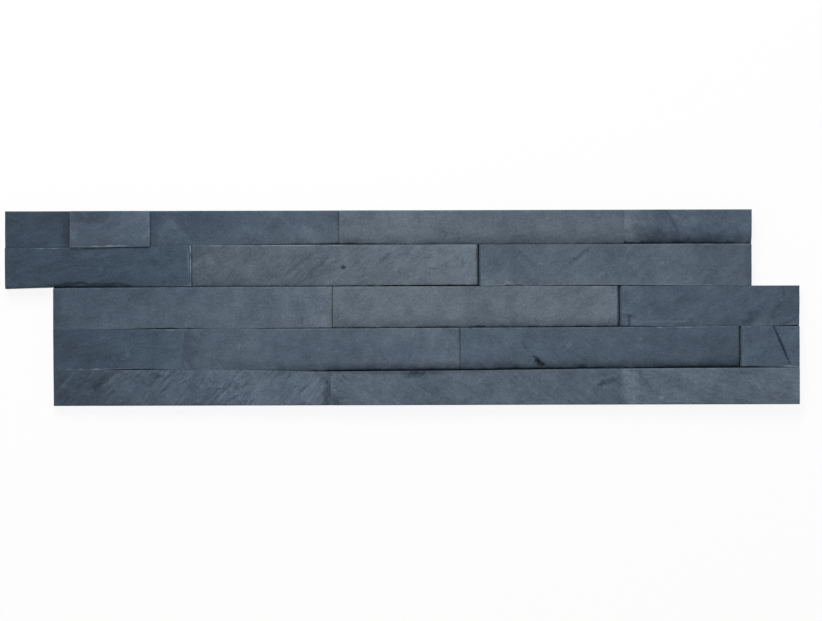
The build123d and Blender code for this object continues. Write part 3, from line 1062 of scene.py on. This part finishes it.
def lay_floor(stage):
    """A white floor just under the back. The camera sees it nearly plain white, with the panel's shadow."""
    grid = bmesh.new()
    bmesh.ops.create_grid(grid, x_segments=1, y_segments=1, size=stage.floor_size / 2)
    under = Vector((0, 0, cad_low.z - StripFace.CLEAR))
    bmesh.ops.translate(grid, verts=grid.verts, vec=under)
    mesh = bpy.data.meshes.new("floor")
    grid.to_mesh(mesh)
    grid.free()
    white = SurfaceFinish(bpy.data.materials.new("white_floor"))
    diffuse = white.node("ShaderNodeBsdfDiffuse", {}, {"Color": opaque(stage.floor_colour)})
    glow = white.node("ShaderNodeEmission", {}, {"Color": WHITE, "Strength": 1.0})
    share = stage.floor_glow * white.seen_ray()
    shader = white.node("ShaderNodeMixShader", {}, {0: share, 1: diffuse, 2: glow})
    mesh.materials.append(white.output(shader))
    link("floor", mesh)


def hang_lights(scene, stage):
    """One soft box above the panel's top edge, and even light from all round."""
    box = bpy.data.lights.new("soft_box", "AREA")
    box.shape = "SQUARE"
    box.size = stage.key_size
    box.energy = stage.key_power
    key = bpy.data.objects.new("soft_box", box)
    level, rise = math.cos(stage.key_elevation), math.sin(stage.key_elevation)
    way = Vector((-math.sin(stage.key_turn) * level, math.cos(stage.key_turn) * level, rise))
    key.location = way * stage.key_distance
    key.rotation_euler = way.to_track_quat("Z", "Y").to_euler()
    scene.collection.objects.link(key)

    scene.world = bpy.data.worlds.new("even_light")
    light = SurfaceFinish(scene.world)
    sky = light.node("ShaderNodeBackground", {}, {"Color": WHITE, "Strength": stage.sky})
    white = light.node("ShaderNodeBackground", {}, {"Color": WHITE, "Strength": 1.0})
    shader = light.node("ShaderNodeMixShader", {}, {0: light.seen_ray(), 1: sky, 2: white})
    light.output(shader, "ShaderNodeOutputWorld")


def aim_camera(scene, stage):
    """A long lens straight above the panel."""
    data = bpy.data.cameras.new("camera")
    data.lens = stage.lens
    data.dof.use_dof = False
    camera = bpy.data.objects.new("camera", data)
    middle_height = (cad_low.z + cad_high.z) / 2
    distance = VIEW_WIDTH * data.lens / data.sensor_width
    camera.location = (*VIEW_CENTRE, middle_height + distance)
    camera.rotation_euler = (0, 0, math.radians(VIEW_ROLL))
    data.clip_end = VIEW_REACH
    scene.collection.objects.link(camera)
    scene.camera = camera


class SLATE_PT_panel(bpy.types.Panel):
    """Sizes, colours and steps of the slate panel"""

    bl_label = "Slate Panel"
    bl_idname = "SLATE_PT_panel"
    bl_space_type = "VIEW_3D"
    bl_region_type = "UI"
    bl_category = "Slate Panel"

    def draw(self, context):
        for group in (context.scene.slate_sizes, context.scene.slate_colours, context.scene.slate_stage):
            column = self.layout.column(align=True)
            for name in group.bl_rna.properties.keys():
                if name not in {"rna_type", "name"}:
                    column.prop(group, name)
        for course in range(1, COURSES + 1):
            self.layout.operator(SLATE_OT_lay_course.bl_idname, text=f"Lay Course {course}").course = course
        self.layout.operator(SLATE_OT_fill_beds.bl_idname)
        self.layout.operator(SLATE_OT_set_stage.bl_idname)


CLASSES = (SlateSizes, SlateColours, StageSizes, SLATE_OT_lay_course, SLATE_OT_fill_beds,
           SLATE_OT_set_stage, SLATE_PT_panel)
GROUPS = {"slate_sizes": SlateSizes, "slate_colours": SlateColours, "slate_stage": StageSizes}


def register():
    for kind in CLASSES:
        bpy.utils.register_class(kind)
    for name, kind in GROUPS.items():
        setattr(bpy.types.Scene, name, PointerProperty(type=kind))


def unregister():
    for name in GROUPS:
        delattr(bpy.types.Scene, name)
    for kind in reversed(CLASSES):
        bpy.utils.unregister_class(kind)


def main():
    register()
    for course in range(1, COURSES + 1):
        bpy.ops.slate_panel.lay_course(course=course)
    bpy.ops.slate_panel.fill_beds()
    bpy.ops.slate_panel.set_stage()


if __name__ == "__main__":
    main()
